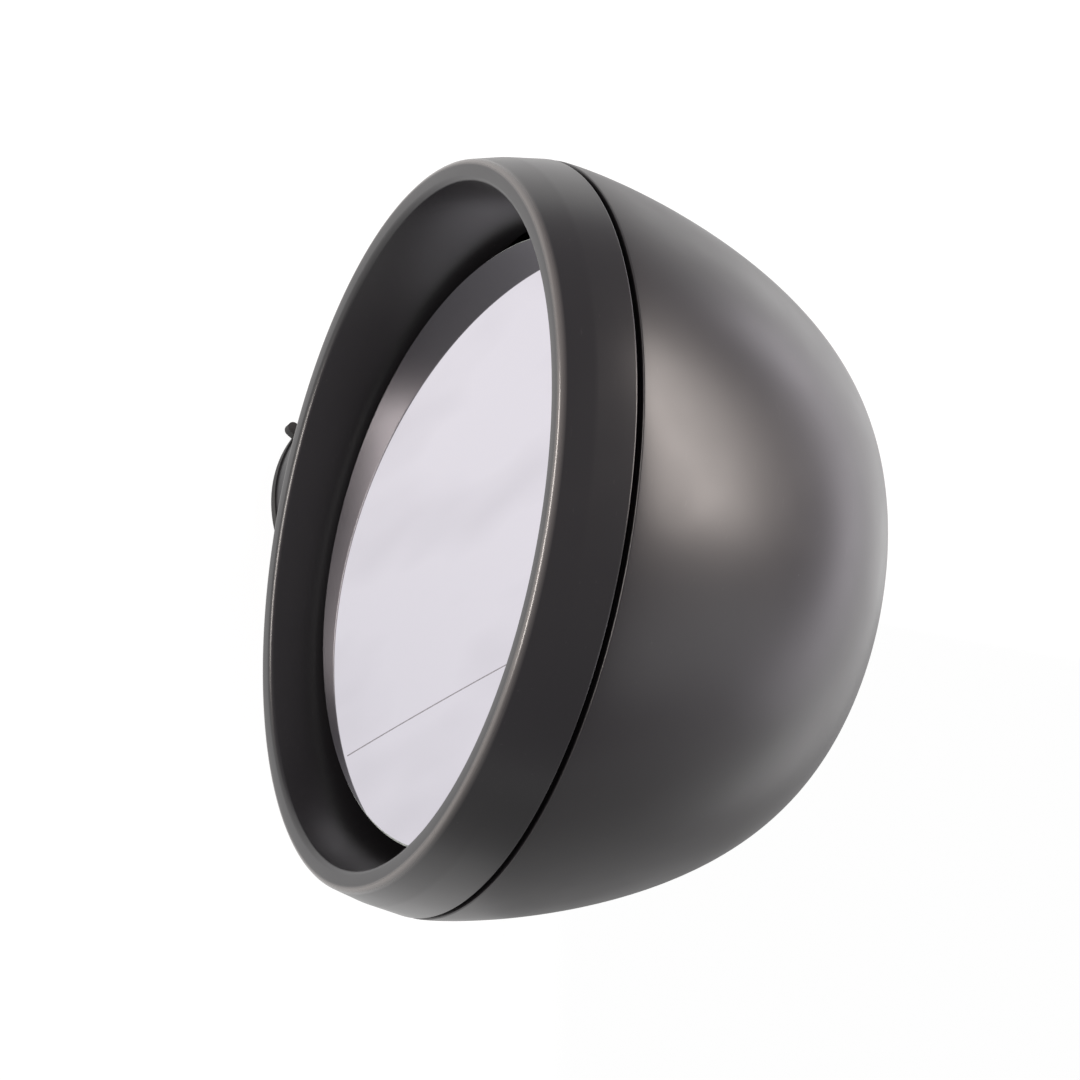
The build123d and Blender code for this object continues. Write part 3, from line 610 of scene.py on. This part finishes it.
neck = {
    "inner": 15.6 * mm, "outer": 18.5 * mm, "spread": 4.2 * mm, "sink": 0.12 * mm, "sealGap": 0.05 * mm,
    "wall": 1.2 * mm, "mouthRound": 0.6, "mouthHeight": 5, "segments": 160, "curveSteps": 10,
}


def domeRadius(depth):
    rise = max(0.0, (depth - dome["start"]) / dome["depth"]) ** (1 / dome["rise"])
    return dome["radius"] * sqrt(max(0.0, 1 - rise * rise)) ** dome["bluntness"]


def undersideZ(x, y):
    # height of the dome's underside over a point of the floor
    radius = domeRadius(y - lipY)
    return headZ - sqrt(max(0.0, radius ** 2 - (x - headX) ** 2))


def makeNeck(values):
    bottom = sealHigh.z + values["sealGap"]
    inner, outside = values["inner"] / mm, values["outer"] / mm
    low, high = bottom / mm, bottom / mm + values["mouthHeight"]
    # only the two lower corners of the mouth are kept, rounded; the upper two give them their direction
    mouth = roundCorners([(inner, low, values["mouthRound"]), (outside, low, values["mouthRound"]),
                          (outside, high, 0), (inner, high, 0)])[:-2]
    form = bmesh.new()
    rings = []
    steps = values["curveSteps"]
    for i in range(values["segments"]):
        angle = 2 * pi * i / values["segments"]
        across = Vector((cos(angle), sin(angle), 0))
        line = [across * radius + Vector((0, 0, height)) for radius, height in mouth]
        joint = undersideZ(across.x * values["outer"], across.y * values["outer"])
        outer = values["outer"] + values["spread"]
        top = undersideZ(across.x * outer, across.y * outer) + values["sink"]
        start = Vector((values["outer"], joint - values["spread"]))
        corner = Vector((values["outer"], joint))
        end = Vector((outer, top))
        for step in range(steps + 1):      # leaves the sleeve upright and meets the dome flat
            mix = step / steps
            point = start * (1 - mix) ** 2 + corner * 2 * mix * (1 - mix) + end * mix ** 2
            line.append(across * point.x + Vector((0, 0, point.y)))
        line.append(across * outer + Vector((0, 0, top + values["wall"])))
        line.append(across * values["inner"] + Vector((0, 0, joint + values["wall"])))
        rings.append([form.verts.new(point) for point in line])
    count = len(rings[0])
    for i in range(len(rings)):
        here, following = rings[i], rings[(i + 1) % len(rings)]
        for j in range(count):
            k = (j + 1) % count
            form.faces.new((here[j], following[j], following[k], here[k])).smooth = True
    bmesh.ops.recalc_face_normals(form, faces=form.faces)
    mesh = bpy.data.meshes.new("neckSleeve")
    form.to_mesh(mesh)
    form.free()
    mesh.materials.append(materials["shell"])
    mesh.set_sharp_from_angle(angle=radians(50))
    obj = bpy.data.objects.new("neckSleeve", mesh)
    bpy.context.collection.objects.link(obj)
    return obj


neckSleeve = makeNeck(neck)
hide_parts("housing_shell")
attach(neckSleeve, "head")
print("stage: neck")


# ---- glass: bent pane with a wider-angle outer zone, ground edge, etched line between the zones

tiltJoint = next(joint for joint in frame["joints"] if joint["name"] == "glass_tilt_in_out")
glassUp = Vector(tiltJoint["axis"]).normalized()
glassBack = Vector((1, 0, 0)).cross(glassUp) * -1
if glassBack.y < 0:
    glassBack.negate()
tiltCentre = Vector(tiltJoint["pos_m"])
glass = {
    "radius": 66.0, "thickness": 2.0, "curvature": 1400.0, "lever": 9.0, "chamfer": 0.45,
    "lineAt": 30.4, "lineWidth": 0.26, "lineShort": 4.0, "lineProud": 0.015, "lineSteps": 96,
    "outerZone": 0.35, "segments": 256, "frontRings": 40, "rearRings": 20,
}


def sag(radius):
    return glass["curvature"] - sqrt(glass["curvature"] ** 2 - radius ** 2)


def outerSag(x):
    # the extra curve of the zone outboard of the line, in mm
    span = glass["radius"] - glass["lineAt"]
    return glass["outerZone"] * max(0.0, (x - glass["lineAt"]) / span) ** 3


def onGlass(x, up, depth):
    # mm in the glass's own axes; depth is behind the middle of its front
    offset = Vector((x, 0, 0)) + glassUp * up + glassBack * (depth - glass["lever"])
    return tiltCentre + offset * mm


def makePane(values):
    rim = values["radius"]
    inner = rim - values["chamfer"]
    ahead, behind = values["frontRings"], values["rearRings"]
    front = [(inner * i / ahead, sag(inner * i / ahead)) for i in range(ahead + 1)]
    edge = [(rim, sag(rim) + depth) for depth in (values["chamfer"], values["thickness"] - values["chamfer"])]
    rear = [(inner * i / behind, sag(inner * i / behind) + values["thickness"])
            for i in range(behind, -1, -1)]
    loop = front + edge + rear
    zones = [0] * ahead + [1] * (len(edge) + 1) + [0] * (behind + 1)      # 1 is the ground edge

    def place(radius, depth, angle):
        x = radius * cos(angle)
        extra = outerSag(x) if depth < sag(radius) + values["thickness"] / 2 else 0.0
        return onGlass(x, radius * sin(angle), depth + extra)

    pane = spinLoop("mirrorPane", loop, place, values["segments"], zones)
    pane.data.materials.append(materials["mirror"])
    pane.data.materials.append(materials["ground"])
    return pane


def makeEtchedLine(values):
    # a shallow matt line, as a strip that follows the glass
    half = sqrt(values["radius"] ** 2 - values["lineAt"] ** 2) - values["lineShort"]
    steps = values["lineSteps"]
    verts, faces = [], []
    for i in range(steps + 1):
        up = -half + 2 * half * i / steps
        for side in (-0.5, 0.5):
            x = values["lineAt"] + side * values["lineWidth"]
            depth = sag(sqrt(x * x + up * up)) + outerSag(x) - values["lineProud"]
            verts.append(onGlass(x, up, depth))
        if i:
            faces.append((2 * i - 2, 2 * i - 1, 2 * i + 1, 2 * i))
    mesh = bpy.data.meshes.new("etchedLine")
    mesh.from_pydata(verts, [], faces)
    mesh.update()
    if mesh.polygons[0].normal.dot(glassBack) > 0:
        mesh.flip_normals()
    obj = bpy.data.objects.new("etchedLine", mesh)
    bpy.context.collection.objects.link(obj)
    mesh.materials.append(etched)
    return obj


etchedGlass = {"colour": "77757B", "dark": "4E4D52", "grit": 0.6, "roughness": 0.6}


def makeEtched(name, values):
    # acid-etched glass: grey, dull, grainy
    material, tree, shader, place = newMaterial(name)
    pits = addNode(tree, "ShaderNodeTexNoise", None,
                   {"Vector": place, "Scale": perMm(values["grit"]), "Detail": 2.0})
    colour = mixColours(tree, pits.outputs["Fac"], srgb(values["colour"]), srgb(values["dark"]))
    tree.links.new(colour, shader.inputs["Base Color"])
    setShader(shader, {"Roughness": values["roughness"], "IOR": 1.5})
    return material


etched = makeEtched("float glass, acid-etched", etchedGlass)
mirrorPane = makePane(glass)
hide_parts("mirror_glass")
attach(mirrorPane, "glass")
etchedLine = makeEtchedLine(glass)
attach(etchedLine, "glass")
print("stage: glass")
